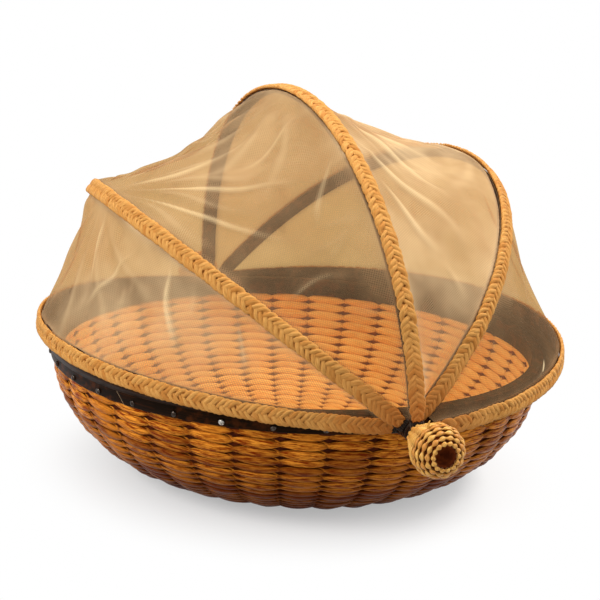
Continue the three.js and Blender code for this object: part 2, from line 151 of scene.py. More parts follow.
class Nodes:
    """A node tree, and short ways to add nodes. A colour of three numbers is one as it looks on a screen."""

    def __init__(self, owner):
        owner.use_nodes = True
        self.tree = owner.node_tree
        self.tree.nodes.clear()

    def feed(self, node, inputs):
        """Sets or links a node's inputs."""
        for key, value in inputs.items():
            if isinstance(value, bpy.types.NodeSocket):
                self.tree.links.new(value, node.inputs[key])
            else:
                node.inputs[key].default_value = value

    def node(self, kind, inputs=None, **settings):
        made = self.tree.nodes.new(kind)
        for key, value in settings.items():
            setattr(made, key, value)
        self.feed(made, inputs or {})
        return made

    def math(self, operation, a, b=0.0, c=0.0):
        return self.node("ShaderNodeMath", {0: a, 1: b, 2: c}, operation=operation).outputs[0]

    def ranged(self, value, low, high, to_low=0.0, to_high=1.0):
        inputs = {"Value": value, "From Min": low, "From Max": high, "To Min": to_low, "To Max": to_high}
        return self.node("ShaderNodeMapRange", inputs, interpolation_type="SMOOTHSTEP").outputs[0]

    def mix(self, share, a, b):
        """Mixes two colours by a share, which may be given as what ranged takes."""
        share = self.ranged(*share) if isinstance(share, tuple) else share
        a, b = (linear(*c) if isinstance(c, tuple) and len(c) == 3 else c for c in (a, b))
        return self.node("ShaderNodeMix", {0: share, 6: a, 7: b}, data_type="RGBA", clamp_factor=True).outputs[2]

    def place(self):
        return self.node("ShaderNodeTexCoord").outputs["Object"]

    def seen(self):
        """1 for what the camera sees, also in shiny or clear things, else 0."""
        path = self.node("ShaderNodeLightPath").outputs
        mirrored = self.math("MAXIMUM", path["Is Camera Ray"], path["Is Glossy Ray"])
        return self.math("MAXIMUM", mirrored, path["Is Transmission Ray"])

    def end_in(self, end, share, first, second):
        """Ends the tree in two shaders, mixed."""
        both = self.node("ShaderNodeMixShader", {0: share, 1: first.outputs[0], 2: second.outputs[0]})
        self.feed(end, {"Surface": both.outputs[0]})


class Finish(Nodes):
    """A material with one Principled shader."""

    def __init__(self, name):
        self.material = bpy.data.materials.new(name)
        super().__init__(self.material)
        self.end = self.node("ShaderNodeOutputMaterial")
        self.shader = self.node("ShaderNodeBsdfPrincipled")
        self.feed(self.end, {"Surface": self.shader.outputs["BSDF"]})

    def noise(self, vector, scale, detail=3.0, roughness=0.5):
        inputs = {"Vector": vector, "Scale": scale, "Detail": detail, "Roughness": roughness}
        return self.node("ShaderNodeTexNoise", inputs).outputs["Fac"]

    def scaled(self, vector, factors):
        return self.node("ShaderNodeVectorMath", {0: vector, 1: factors}, operation="MULTIPLY").outputs[0]

    def fibre(self, across=1.0):
        """Place on a piece's own surface in metres, drawn out along the fibres."""
        return self.scaled(self.node("ShaderNodeUVMap", uv_map="fibre").outputs[0], (1.0, across, 1.0))

    def tone(self):
        """The four values that a piece's mesh carries for its colour."""
        made = self.node("ShaderNodeAttribute", attribute_name="tone", attribute_type="GEOMETRY")
        parts = self.node("ShaderNodeSeparateColor", {0: made.outputs["Color"]})
        return (*parts.outputs, made.outputs["Alpha"])

    def finished(self, colour, roughness, specular, bump=None, **values):
        """Feeds the shader and gives the material. bump is a height, and its strength and distance."""
        values |= {"Base_Color": colour, "Roughness": roughness, "Specular_IOR_Level": specular}
        if bump:
            inputs = dict(zip(("Height", "Strength", "Distance"), bump))
            values["Normal"] = self.node("ShaderNodeBump", inputs).outputs[0]
        self.feed(self.shader, {key.replace("_", " "): value for key, value in values.items()})
        return self.material


def rattan_finish():
    """Tone: outside 1 or inside 0, painted shade in the weave's hollows, a strand's own shade, height up the wall."""
    f = Finish("rattan_weave")
    side, painted_shade, shade, height = f.tone()
    # streaks along the fibres: the rattan's own tone, and in their palest parts painted glints
    streak = f.noise(f.fibre(9.0), 120.0, 4.0, 0.65)
    patch = f.noise(f.place(), 30.0, 3.0)
    inner = f.mix((shade, 0.0, 1.0), (250, 194, 122), (240, 172, 96))
    inner = f.mix((streak, 0.35, 0.75), inner, (254, 212, 146))
    # the outside is painted in shade low down, under the bowl, and in light high up
    high = f.mix((streak, 0.38, 0.62), (130, 42, 2), (248, 160, 54))
    low = f.mix((streak, 0.36, 0.66), (54, 9, 0), (106, 27, 1))
    outer = f.mix((height, 0.2, 0.95), low, high)
    outer = f.mix((shade, 0.35, 1.0, 0.0, 0.7), outer, (98, 32, 4))
    # random paler golden patches, stronger higher up the wall
    paler_patches = f.math("MULTIPLY", f.ranged(patch, 0.5, 0.66, 0.0, 0.6), f.ranged(height, 0.1, 0.9, 0.15, 1.0))
    outer = f.mix(paler_patches, outer, (216, 130, 38))
    body = f.mix((side, 0.38, 0.62), inner, outer)
    # painted shade: strands darken where they sink into the weave and along their edges
    painted_shade_colour = f.mix((side, 0.3, 0.7), (156, 84, 34), (54, 14, 1))
    colour = f.mix((painted_shade, 0.15, 0.8, 0.0, 0.95), body, painted_shade_colour)
    rough = f.ranged(side, 0.3, 0.7, 0.5, 0.34)
    bump = f.math("MULTIPLY", streak, f.ranged(side, 0.3, 0.7, 0.5, 1.6))
    return f.finished(colour, rough, 0.05, (bump, 0.45, 0.0008), Specular_Tint=(1.0, 0.54, 0.18, 1.0))


def knob_finish():
    """Tone: nothing, painted shade in the weave's hollows, a strand's own shade."""
    f = Finish("knob_weave")
    painted_shade, shade = f.tone()[1:3]
    streak = f.noise(f.fibre(14.0), 170.0, 3.0, 0.6)
    body = f.mix((streak, 0.3, 0.7), (186, 120, 38), (242, 194, 104))
    body = f.mix((shade, 0.5, 1.0, 0.0, 0.6), body, (190, 112, 34))
    # painted shade deep in the weave
    colour = f.mix((painted_shade, 0.35, 0.75), body, (92, 42, 8))
    return f.finished(colour, 0.4, 0.3, (streak, 0.3, 0.0005))


def braid_finish():
    """Tone: nearness to the pins, painted shade deep in the plait, a straw's own shade."""
    f = Finish("straw_braid")
    near, painted_shade, shade = f.tone()[:3]
    streak = f.noise(f.fibre(18.0), 190.0, 4.0, 0.65)
    body = f.mix((streak, 0.3, 0.72), (184, 122, 54), (228, 174, 100))
    body = f.mix((shade, 0.45, 1.0, 0.0, 0.65), body, (180, 112, 46))
    body = f.mix(f.math("MULTIPLY", near, 0.5), body, (180, 98, 40))
    # painted shade deep in the plait
    colour = f.mix((painted_shade, 0.35, 0.9, 0.0, 0.85), body, (128, 66, 16))
    return f.finished(colour, 0.55, 0.1, (streak, 0.45, 0.0006), Specular_Tint=(1.0, 0.75, 0.4, 1.0))


def lacquer_finish(name, dark, worn, roughness):
    """Dark lacquer over wood. Tone: how far a place is an edge, where the lacquer has worn, or a bare cut."""
    f = Finish(name)
    edge, cut = f.tone()[:2]
    grain = f.noise(f.fibre(30.0), 45.0, 5.0, 0.6)
    wear = f.noise(f.place(), 160.0, 3.0)
    rubbed = f.math("MULTIPLY", f.ranged(edge, 0.55, 1.0), f.ranged(wear, 0.46, 0.66))
    body = f.mix((grain, 0.45, 0.75, 0.0, 0.5), dark, worn)
    colour = f.mix(f.math("MULTIPLY", rubbed, 0.75), body, worn)
    colour = f.mix((cut, 0.6, 1.0), colour, (176, 146, 112))
    rough = f.math("ADD", f.ranged(grain, 0.3, 0.8, 0.0, 0.12), roughness)
    return f.finished(colour, rough, 0.06, (grain, 0.18, 0.0005), Specular_Tint=(1.0, 0.74, 0.48, 1.0))


def board_finish():
    """Dark wood with its grain along X."""
    f = Finish("dark_board")
    grain = f.noise(f.scaled(f.place(), (14.0, 240.0, 60.0)), 1.0, 5.0, 0.6)
    patch = f.noise(f.place(), 14.0, 2.0)
    colour = f.mix((grain, 0.4, 0.75), (24, 9, 3), (50, 22, 9))
    colour = f.mix((patch, 0.5, 0.75, 0.0, 0.4), colour, (70, 28, 12))
    rough = f.ranged(patch, 0.3, 0.7, 0.26, 0.38)
    return f.finished(colour, rough, 0.5, (grain, 0.2, 0.0006), Coat_Weight=0.3, Coat_Roughness=0.2)


def steel_finish():
    """Tone: nothing, how far a nail is stained."""
    f = Finish("nail_steel")
    stain = f.tone()[1]
    scuff = f.noise(f.place(), 900.0, 3.0)
    bare = f.mix((scuff, 0.4, 0.65), (206, 202, 194), (118, 108, 96))
    colour = f.mix(stain, bare, (38, 22, 12))
    rough = f.ranged(scuff, 0.3, 0.7, 0.22, 0.42)
    return f.finished(colour, rough, 0.5, (scuff, 0.2, 0.0002), Metallic=1.0)


def cord_finish():
    """Laid cord, with its yarns on the slant."""
    f = Finish("dark_cord")
    along, around = f.node("ShaderNodeSeparateXYZ", {0: f.fibre()}).outputs[:2]
    lay = f.math("SINE", f.math("MULTIPLY", f.math("ADD", along, around), 5200.0))
    fuzz = f.noise(f.place(), 1400.0, 3.0)
    colour = f.mix((lay, -0.6, 0.9), (20, 11, 6), (62, 42, 26))
    colour = f.mix((fuzz, 0.55, 0.75, 0.0, 0.5), colour, (96, 72, 48))
    bump = (f.math("ADD", lay, fuzz), 0.5, 0.0004)
    return f.finished(colour, 0.62, 0.2, bump, Sheen_Weight=0.1, Sheen_Roughness=0.5)


def shade_core_finish():
    """Painted shade for the middle of the wall, seen dark through the slits of the weave. Tone: outside 1 or inside 0.
    """
    f = Finish("weave_shade_core")
    side = f.tone()[0]
    fleck = f.ranged(f.noise(f.place(), 300.0, 2.0), 0.4, 0.7)
    outer = f.mix(fleck, (54, 15, 2), (84, 30, 5))
    inner = f.mix(fleck, (96, 38, 8), (132, 60, 18))
    return f.finished(f.mix(side, inner, outer), 0.8, 0.1)


def net_finish():
    """Fine open net on the bias. Tone: how far a place is a crease, with a painted highlight, how near a hem is, how
    dense the cloth is, with painted light.
    """
    f = Finish("net")
    fold_and_highlight, hem, shade = f.tone()[:3]
    along, around = f.node("ShaderNodeSeparateXYZ", {0: f.fibre()}).outputs[:2]
    threads = []
    for sign in (1.0, -1.0):
        slant = f.math("MULTIPLY_ADD", around, sign, along)
        turn = f.math("FRACT", f.math("DIVIDE", slant, NET_PITCH * MM * math.sqrt(2)))
        threads.append(f.math("ABSOLUTE", f.math("SUBTRACT", turn, 0.5)))
    thread = f.ranged(f.math("MINIMUM", *threads), 0.1, 0.2, 0.44, 0.3)
    cloud = f.noise(f.place(), 17.0, 3.0, 0.6)
    cover = f.math("ADD", thread, f.ranged(cloud, 0.3, 0.7, -0.08, 0.08))
    for value, share in ((shade, 0.15), (fold_and_highlight, 0.3), (hem, 0.25)):
        cover = f.math("MULTIPLY_ADD", value, share, cover)
    cover = f.math("MINIMUM", cover, 0.97)
    # light comes through the thin threads as well as between them
    path = f.node("ShaderNodeLightPath").outputs
    passing = f.math("MAXIMUM", path["Is Shadow Ray"], path["Is Diffuse Ray"])
    cover = f.math("MULTIPLY", cover, f.math("MULTIPLY_ADD", passing, -0.75, 1.0))
    low = f.mix((cloud, 0.35, 0.7), (134, 106, 76), (160, 126, 88))
    high = f.mix((cloud, 0.35, 0.7), (180, 147, 108), (208, 176, 133))
    # painted light: where the cloth is dense, over the crown, the threads are painted paler; low down they are painted
    # darker
    colour = f.mix(shade, low, high)
    # creases, where the cloth lies doubled, are also painted paler as a highlight along their ridges
    colour = f.mix((fold_and_highlight, 0.1, 1.0, 0.0, 0.6), colour, (242, 214, 164))
    # what shines through takes the threads' own tint
    tint = f.mix(passing, (0.97, 0.77, 0.46, 1.0), (1.0, 0.93, 0.82, 1.0))
    through = f.node("ShaderNodeBsdfTransparent", {"Color": tint})
    f.end_in(f.end, cover, through, f.shader)
    return f.finished(colour, 0.7, 0.1)


WEAVE = rattan_finish()
KNOB = knob_finish()
BRAID = braid_finish()
LACQUER = lacquer_finish("dark_lacquer", (14, 5, 2), (72, 34, 12), 0.4)
STRIP = lacquer_finish("dark_strip", (34, 18, 10), (88, 54, 30), 0.42)
BOARD = board_finish()
STEEL = steel_finish()
CORD = cord_finish()
SHADE_CORE = shade_core_finish()
NET = net_finish()


# Meshes


def placed(name, data):
    made = bpy.data.objects.new(name, data)
    bpy.context.scene.collection.objects.link(made)
    return made


def unit(vectors):
    return vectors / np.linalg.norm(vectors, axis=-1)[..., None]


def lengths(line):
    """How far along a line of points each of them lies."""
    return np.concatenate([[0.0], np.cumsum(np.linalg.norm(np.diff(line, axis=0), axis=1))])


def spun(x, y, angle):
    return x * math.cos(angle) - y * math.sin(angle), x * math.sin(angle) + y * math.cos(angle)


def ring(count):
    """Angles evenly round a ring."""
    return np.linspace(0, TURN, count, endpoint=False)


def smooth(value, low, high):
    t = np.clip((value - low) / (high - low), 0, 1)
    return t * t * (3 - 2 * t)


def toned(size, *values):
    """The four values of each point of a grid, from numbers or arrays."""
    found = np.zeros((*size, 4))
    for k, value in enumerate(values):
        found[..., k] = value
    return found


class Shape:
    """Gathers tubes and sheets given in millimetres, with a tone and a fibre direction, into one mesh."""

    def __init__(self):
        self.points, self.faces, self.tones, self.uvs, self.count = [], [], [], [], 0

    def grid(self, points, tone, along, around, closed_along=False, closed_around=True, caps=False):
        """points[n, m, 3] as quads.

        along[n] and around[m + 1], or around[n, m] on an open sheet, are lengths in mm for the fibres.
        """
        n, m = points.shape[:2]
        rows, columns = n if closed_along else n - 1, m if closed_around else m - 1
        i, j = np.meshgrid(np.arange(rows), np.arange(columns), indexing="ij")
        corners = ((0, 0), (0, 1), (1, 1), (1, 0))
        quads = np.stack([(i + a) % n * m + (j + b) % m for a, b in corners], -1).reshape(-1, 4)
        along = np.append(along, 2 * along[-1] - along[-2])
        if np.ndim(around) == 1:
            around = np.broadcast_to(around, (n + 1, len(around)))
        uv = [np.stack([along[i + a], around[i + a, j + b]], -1) for a, b in corners]
        uv = np.stack(uv, -2).reshape(-1, 4, 2)
        flat = points.reshape(-1, 3)
        turned_over = closed_around and inside_out(flat, quads)
        if turned_over:
            quads, uv = quads[:, ::-1], uv[:, ::-1]
        self.faces.extend((quads + self.count).tolist())
        self.uvs.append(uv.reshape(-1, 2))
        for end in (0, n - 1) if caps else ():
            loop = [self.count + end * m + k for k in range(m)]
            self.faces.append(loop[::-1] if (end == 0) != turned_over else loop)
            self.uvs.append(np.tile([along[end], 0.0], (m, 1)))
        self.points.append(flat)
        self.tones.append(np.broadcast_to(np.asarray(tone, float), (n, m, 4)).reshape(-1, 4))
        self.count += n * m

    def piece(self, name, material, slot, replaces=(), body="basket", smooth=True):
        mesh = bpy.data.meshes.new(name)
        points = np.concatenate(self.points) * MM
        mesh.from_pydata(points.tolist(), [], self.faces)
        tone = mesh.attributes.new("tone", "FLOAT_COLOR", "POINT")
        tone.data.foreach_set("color", np.concatenate(self.tones).astype(np.float32).ravel())
        layer = mesh.uv_layers.new(name="fibre")
        layer.data.foreach_set("uv", (np.concatenate(self.uvs) * MM).astype(np.float32).ravel())
        mesh.polygons.foreach_set("use_smooth", np.full(len(mesh.polygons), smooth))
        mesh.materials.append(material)
        mesh.update()
        made = placed(name, mesh)
        if body:
            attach(made, body)
        if replaces:
            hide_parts(*replaces)
        return made


def inside_out(points, quads):
    """True if the quads' faces point inwards on the whole."""
    a, b, c, d = points[quads.T]
    return bool((a * (np.cross(b, c) + np.cross(c, d))).sum() < 0)


def axis_frame(side=0):
    """Turns radius, turn and height into a point: about Z for side 0, else out along the pins."""

    def place(radius, turn, height):
        x, y = radius * np.cos(turn), radius * np.sin(turn)
        return np.stack([side * height, side * x, PIN_HEIGHT + y] if side else [x, y, height], -1)

    return place


def turned(shape, profile, steps, place, edge=0.0, rise=0.0):
    """A closed profile of (radius, height) or (radius, height, edge) turned about an axis."""
    profile = np.asarray(profile, float)
    turn = ring(steps)
    size = (steps, len(profile))
    radius, height = (np.broadcast_to(profile[:, k], size) for k in (0, 1))
    points = place(radius, np.broadcast_to(turn[:, None], size), height + rise)
    edge = profile[:, 2] if profile.shape[1] > 2 else edge
    around = lengths(np.vstack([profile[:, :2], profile[:1, :2]]))
    shape.grid(points, toned(size, edge), turn * profile[:, 0].max(), around, closed_along=True)


def rounded(low_r, high_r, low_z, high_z, corner, steps=4):
    """A rounded rectangle as (radius, height, edge), where edge is 1 on its corners."""
    found = []
    low_r, high_r, low_z, high_z = low_r + corner, high_r - corner, low_z + corner, high_z - corner
    for quarter, (r, z) in enumerate([(high_r, low_z), (high_r, high_z), (low_r, high_z), (low_r, low_z)]):
        for k in range(steps + 1):
            a = (quarter - 1 + k / steps) * math.pi / 2
            found.append((r + corner * math.cos(a), z + corner * math.sin(a), 1.0))
    return found


def swept(shape, line, out, section, tone=(0, 0, 0, 0), closed=False, scale=1.0):
    """A section of (sideways, outward) swept along a line, with out the outward direction at each point."""
    tangent = np.roll(line, -1, 0) - np.roll(line, 1, 0) if closed else np.gradient(line, axis=0)
    tangent = unit(tangent)
    out = unit(out - (out * tangent).sum(1)[:, None] * tangent)
    across = np.cross(tangent, out)
    section = np.broadcast_to(section, (len(line), *np.shape(section)[-2:]))
    section = section * np.broadcast_to(scale, len(line))[:, None, None]
    points = line[:, None] + section[..., :1] * across[:, None] + section[..., 1:] * out[:, None]
    middle = section[len(section) // 2]
    around = lengths(np.vstack([middle, middle[:1]]))
    shape.grid(points, tone, lengths(line), around, closed_along=closed, caps=not closed)


def oval(half_width, half_height, sides=8, squareness=0.85):
    turn = ring(sides)
    c, s = (np.sign(part) * np.abs(part) ** squareness for part in (np.cos(turn), np.sin(turn)))
    return np.stack([half_width * c, half_height * s], -1)


def wandering(random, turn, size):
    """A smooth random wobble round a ring."""
    found = 0.0
    for count in (2, 3, 5, 7, 11):
        found += random.normal() * np.sin(count * turn + random.uniform(0, TURN)) / math.sqrt(count)
    return found * size / math.sqrt(5)


class Curve:
    """A profile by its length, from a middle line and outward directions in (radius, height)."""

    def __init__(self, middle, outward):
        self.along = lengths(middle)
        self.length = self.along[-1]
        self.parts = [*middle.T, *unit(outward).T]

    def at(self, along):
        """Radius, height and outward direction. Past an end the line runs straight on."""
        inside = np.clip(along, 0, self.length)
        radius, height, nr, nz = (np.interp(inside, self.along, part) for part in self.parts)
        size, beyond = np.hypot(nr, nz), along - inside
        nr, nz = nr / size, nz / size
        return radius + nz * beyond, height - nr * beyond, nr, nz


def strands(random, turn, stakes, centres, pitches, wander):
    """Each row's two strands in turn: number, side, the row's middle, its bend and pitch, and the swell.

    Each stake has its own slight swell, carried smoothly along the strand.
    """
    for centre, pitch in zip(centres, pitches):
        bend = wandering(random, turn, wander * pitch)
        for number, sign in enumerate((1.0, -1.0)):
            swell = random.normal(0, 1, stakes)
            swell = np.interp(turn / TURN * stakes, np.arange(stakes + 1), np.append(swell, swell[0]))
            yield number, sign, centre, bend, pitch, swell


def laid(curve, place, turn, along, half, out, thick, sine, cosine):
    """Points of a strand round a wall, how far they stand out from the wall's middle, and their radius."""
    s = along[:, None] + half[:, None] * sine
    radius, height, nr, nz = curve.at(s)
    lift = out[:, None] + thick * cosine
    return place(radius + nr * lift, np.broadcast_to(turn[:, None], s.shape), height + nz * lift), lift, radius


def wall_weave(shapes, curve, place, seed):
    """Rows of two strands that twist round each other between the stakes.

    Each strand passes outside one stake and inside the next. It is widest over a stake, where it meets the
    rows above and below, and narrow where the two cross, which leaves the dark slits of the weave.
    """
    random = np.random.default_rng(seed)
    pitches = np.linspace(1.0, WEAVE_LAST_PITCH, WEAVE_ROWS)
    pitches *= curve.length / pitches.sum()
    centres = WEAVE_START + np.cumsum(pitches) - pitches / 2
    turn = ring(WEAVE_STAKES * STAKE_STEPS)
    over, beside = np.cos(WEAVE_STAKES * turn / 2), np.sin(WEAVE_STAKES * turn / 2)
    crossing = 1 - np.abs(over)
    cosine, sine = oval(1.0, 1.0, 8, 1.0).T
    sine = np.sign(sine) * np.abs(sine) ** 0.9
    reach = WALL_THICKNESS / 2 - STRAND_HALF
    for number, sign, centre, bend, pitch, swell in strands(random, turn, WEAVE_STAKES, centres, pitches, 0.05):
        outside = sign * over > 0
        grown = 1 - crossing ** np.where(outside, 2.0, 2.3)
        half = pitch * (0.21 + 0.335 * grown) * (1 + 0.04 * swell)
        out = sign * (reach + 0.12 * swell) * np.sign(over) * np.abs(over) ** 0.85
        along = centre + bend + sign * 0.07 * pitch * beside
        thick = STRAND_HALF * (1 + 0.1 * swell[:, None])
        points, lift, radius = laid(curve, place, turn, along, half, out, thick, sine, cosine)
        side = 0.5 + 0.5 * np.clip(lift / reach, -1, 1)
        # painted shade along each strand's edges, and where it tucks under at a crossing
        edge = np.where(outside, 0.6 + 0.4 * crossing, 0.25 + 0.75 * crossing)
        tucked = np.where(outside, 0.5 * crossing**1.5, 0.0)
        painted_shade = np.maximum(edge[:, None] * (1 - np.abs(cosine)), tucked[:, None])
        shade = np.clip(0.5 + 0.28 * random.normal() + 0.12 * swell[:, None], 0, 1)
        tone = toned(lift.shape, side, painted_shade, shade, 1 - centre / curve.length)
        length = turn * float(np.mean(radius))
        shapes[number].grid(points, tone, length, np.linspace(0, 2.4 * pitch, 9), closed_along=True)


# Bowl


def wall_curve():
    t = np.linspace(0, math.pi / 2, 600)
    across = np.clip(np.cos(t), 0, 1) ** WALL_POWER
    down = np.sin(t) ** WALL_POWER

    def face(radius, top, bottom):
        return np.stack([OPENING_RADIUS + (radius - OPENING_RADIUS) * across, top - (top - bottom) * down], 1)

    outer = face(SHELL_OUTER, SHELL_OUTER_TOP, TABLE_GAP)
    inner = face(SHELL_INNER, SHELL_INNER_TOP, TABLE_GAP + WALL_THICKNESS)
    return Curve((outer + inner) / 2, outer - inner)


def bowl():
    place = axis_frame()
    curve = wall_curve()
    random = np.random.default_rng(7)
    first, second = Shape(), Shape()
    wall_weave([first, second], curve, place, 11)
    first.piece("weave_strands_a", WEAVE, "rattan_weave", ["woven_bowl"])
    second.piece("weave_strands_b", WEAVE, "rattan_weave")

    # Stakes run down the middle of the wall, dark with painted shade, and their ends stand out over the edge of the
    # board, lighter
    stakes = Shape()
    for k in range(WEAVE_STAKES):
        turn = TURN * k / WEAVE_STAKES + random.normal(0, 0.004)
        s = np.linspace(-6.0, curve.length + 1.5 + random.uniform(0, 3.0), 40)
        radius, height, nr, nz = curve.at(s)
        height = height + np.clip(s - curve.length + 3.0, 0, 4) * 0.42
        line = place(radius, np.full_like(s, turn), height)
        ahead = place(radius + nr, np.full_like(s, turn), height + nz)
        painted_shade = np.where(s > curve.length - 1.0, 0.1, 0.8)[:, None]
        tone = toned((len(s), 6), 0.0, painted_shade, random.uniform(0, 0.6), 0.2)
        swept(stakes, line, ahead - line, oval(1.5, 0.55, 6), tone)
    stakes.piece("weave_stakes", WEAVE, "rattan_weave")

    # Between the strands lies the middle of the wall, a dark sheet of painted shade, and above them the part behind the
    # bands, in the same dark colour
    shade_core = Shape()
    radius, height, nr, nz = curve.at(np.linspace(0, curve.length - 1.5, 30))
    outside, inside = (
        np.stack([radius + away * nr, height + away * nz, np.full_like(radius, away > 0)], 1) for away in (0.25, -0.25)
    )
    turned(shade_core, np.vstack([outside, inside[::-1]]), 144, place)
    behind = rounded(RIM_ZONE_INNER, RIM_ZONE_OUTER, OUTER_BAND_BOTTOM - 1.5, CAP_BOTTOM - 0.3, 0.3, 1)
    turned(shade_core, behind, 144, place)
    shade_core.piece("weave_shade_core", SHADE_CORE, "rattan_weave")


def rim():
    place = axis_frame()
    random = np.random.default_rng(5)

    def wave():
        """A hand-made band's slight rise and fall."""
        bend = random.uniform(0, TURN, 3)
        return 0.06 * sum(np.sin((k + 2) * ring(288)[:, None] + bend[k]) for k in range(3))

    def band(name, node, inner, outer, bottom, top=BASKET_HEIGHT - 0.2, corner=0.7, rise=0.0):
        shape = Shape()
        turned(shape, rounded(inner, outer, bottom, top, corner), 288, place, rise=rise)
        shape.piece(name, LACQUER, "dark_lacquer", [node])

    inside = RIM_RADIUS - BAND_THICKNESS
    band("rim_band_outside", "rim_band_outer", inside, RIM_RADIUS, OUTER_BAND_BOTTOM, rise=wave())

    # The outer band's end laps over its beginning and is cut at a slant
    lap = Shape()
    steps = np.linspace(0, 1, 26)
    low, high = OUTER_BAND_BOTTOM + 0.15, BASKET_HEIGHT - 0.5
    levels = np.array([low, low + 0.4, (low + high) / 2, high - 0.4, high])
    rows = []
    for share in steps:
        degrees = RIM_SEAM + 17.0 * share + 4.0 * (high - levels) / (high - low) * (1 - share)
        proud = RIM_RADIUS + 0.57 - 0.55 * share
        front = place(proud - np.array([0.25, 0, 0, 0, 0.25]), np.radians(degrees), levels)
        back = place(np.full(5, RIM_RADIUS - 0.4), np.radians(degrees), levels)
        rows.append(np.vstack([front, back[::-1]]))
    tone = toned((len(steps), 10))
    tone[0, :, 1] = 1.0
    lap.grid(np.array(rows), tone, steps * 44, np.linspace(0, 28, 11), caps=True)
    lap.piece("rim_band_lap", LACQUER, "dark_lacquer")

    band("rim_band_inside", "rim_band_inner", INNER_BAND_INNER, INNER_BAND_OUTER, INNER_BAND_BOTTOM, rise=wave())
    band("rim_top", "rim_cap", INNER_BAND_OUTER - 0.5, RIM_ZONE_OUTER + 0.9, CAP_BOTTOM, BASKET_HEIGHT, 0.6)

    # Domed tacks, each a little tilted and out of round, as (radius, rise) in shares of its head
    head = ((0.3, -0.45), (0.96, -0.45), (1.0, 0.1), (0.9, 0.5), (0.66, 0.82), (0.34, 0.97), (0.05, 1.0))
    nails = Shape()
    for k in range(NAIL_COUNT):
        turn = TURN * (k + 0.5) / NAIL_COUNT + random.normal(0, 0.0015)
        tilt = random.normal(0, 0.07, 2)
        flatten = random.uniform(0.82, 1.0)
        spin = random.uniform(0, math.pi)
        rings = []
        for radius, rise in head:
            y, z = spun(*(NAIL_RADIUS * radius * oval(1.0, flatten, 14, 1.0).T), spin)
            x = NAIL_SEAT + NAIL_RISE * 0.95 * rise + tilt[0] * y + tilt[1] * z
            rings.append(np.stack([*spun(x, y, turn), NAIL_HEIGHT + z], 1))
        stain = random.choice([0.2, 0.9, 0.94, 0.97])
        nails.grid(np.array(rings), (0, stain, 0, 0), np.arange(7.0), np.arange(15.0), caps=True)
    nodes = [f"rim_nail_{k + 1:02d}" for k in range(NAIL_COUNT)]
    nails.piece("rim_nails", STEEL, "nail_steel", nodes)


# Pivots


def knob_curve():
    """From the neck to the rim of the hollow end, as shares of the knob's length and of its swelling."""
    shares = np.array([0.0, 0.18, 0.38, 0.58, 0.72, 0.86, 0.96, 1.0])
    widths = np.array([0.0, 0.26, 0.66, 0.95, 1.0, 0.84, 0.46, 0.0])
    rough = (KNOB_NECK_RADIUS + (KNOB_RADIUS - KNOB_NECK_RADIUS) * widths, KNOB_START + KNOB_LENGTH * shares)
    line = np.stack([np.interp(np.linspace(0, 1, 160), np.linspace(0, 1, 8), part) for part in rough], 1)
    for _ in range(120):
        line[1:-1] = (line[:-2] + 2 * line[1:-1] + line[2:]) / 4
    tangent = np.gradient(line, axis=0)
    outward = unit(np.stack([tangent[:, 1], -tangent[:, 0]], 1))
    return Curve(line - outward * 0.9, outward)


def pivots():
    for word, side in (("right", 1), ("left", -1)):
        place = axis_frame(side)
        pin = Shape()
        radii = (0.01, PIN_RADIUS, COLLAR_RADIUS, PIN_RADIUS, 0.01)
        ends = (INNER_BAND_INNER, COLLAR_START, COLLAR_START + COLLAR_WIDTH, KNOB_START + 11.7)
        turned(pin, [(radius, x) for k, x in enumerate(ends) for radius in radii[k : k + 2]], 24, place)
        pin.piece(f"pivot_rod_{word}", LACQUER, "dark_lacquer", [f"pivot_pin_{word}"], smooth=False)

        lashing = Shape()

        def wound(radius, t, x, section, closed=True):
            x = np.broadcast_to(x, t.shape)
            line = place(radius, t, x)
            swept(lashing, line, line - place(0.0, t, x), section, closed=closed)

        turns, thick = 3, 0.68
        t = np.linspace(0, turns * TURN, turns * 28 + 1)
        wobble = 0.22 * np.sin(2.3 * t) + 0.16 * np.sin(5.1 * t + side)
        x = COLLAR_START + 0.7 + (COLLAR_WIDTH - 1.4) * t / (turns * TURN)
        wound(COLLAR_RADIUS + thick + 0.1 + 0.3 * np.abs(wobble), t, x, oval(thick, thick, 8, 1.0), closed=False)
        # a few turns lie in each gap between the hoops' eyes
        t = ring(40)
        for gap in range(4):
            x = FIRST_EYE + gap * EYE_PITCH + (EYE_PITCH + STRIP_THICKNESS) / 2
            wound(4.05 + 0.25 * np.sin(3 * t + gap), t, x, oval(0.68, 0.75, 8, 1.0))
            wound(2.95, t, x, oval(0.66, 0.7, 6, 1.0))
        lashing.piece(f"pivot_binding_{word}", CORD, "dark_cord", [f"pivot_lashing_{word}"])

        curve = knob_curve()
        knob = Shape()
        knob_weave(knob, curve, place, 21 + side)
        if side == 1:
            # one straw end stands up from the weave
            t = np.linspace(0, 1, 9)
            radius, x = 12.6 + 5.6 * t, KNOB_START + 22.0 + 2.2 * t
            tip = place(radius, 2.02 - 0.1 * t * t, x)
            over = place(radius, 2.32, x)
            swept(knob, tip, over - tip, oval(1.15, 0.5), (0, 0, 0.2, 0), scale=1 - 0.75 * t * t)
        knob.piece(f"knob_strands_{word}", KNOB, "knob_weave", [f"pivot_knob_{word}"])
        # the knob's inside is a dark core in the same painted shade, seen between the strands and in the hollow of its
        # end
        shade_core = Shape()
        radius, height, nr, nz = curve.at(np.linspace(0.4, curve.length - 0.4, 24))
        outside = np.stack([radius - 0.7 * nr, height - 0.7 * nz], 1)
        end = KNOB_START + KNOB_LENGTH
        hollow = [(5.2, end - 2.0), (3.9, end - 7.0), (0.02, end - 7.0)]
        neck = [(0.02, KNOB_START + 0.1), (outside[0][0], KNOB_START + 0.1)]
        turned(shade_core, np.vstack([neck, outside, hollow]), 48, place, edge=0.3)
        shade_core.piece(f"knob_shade_core_{word}", SHADE_CORE, "knob_weave")


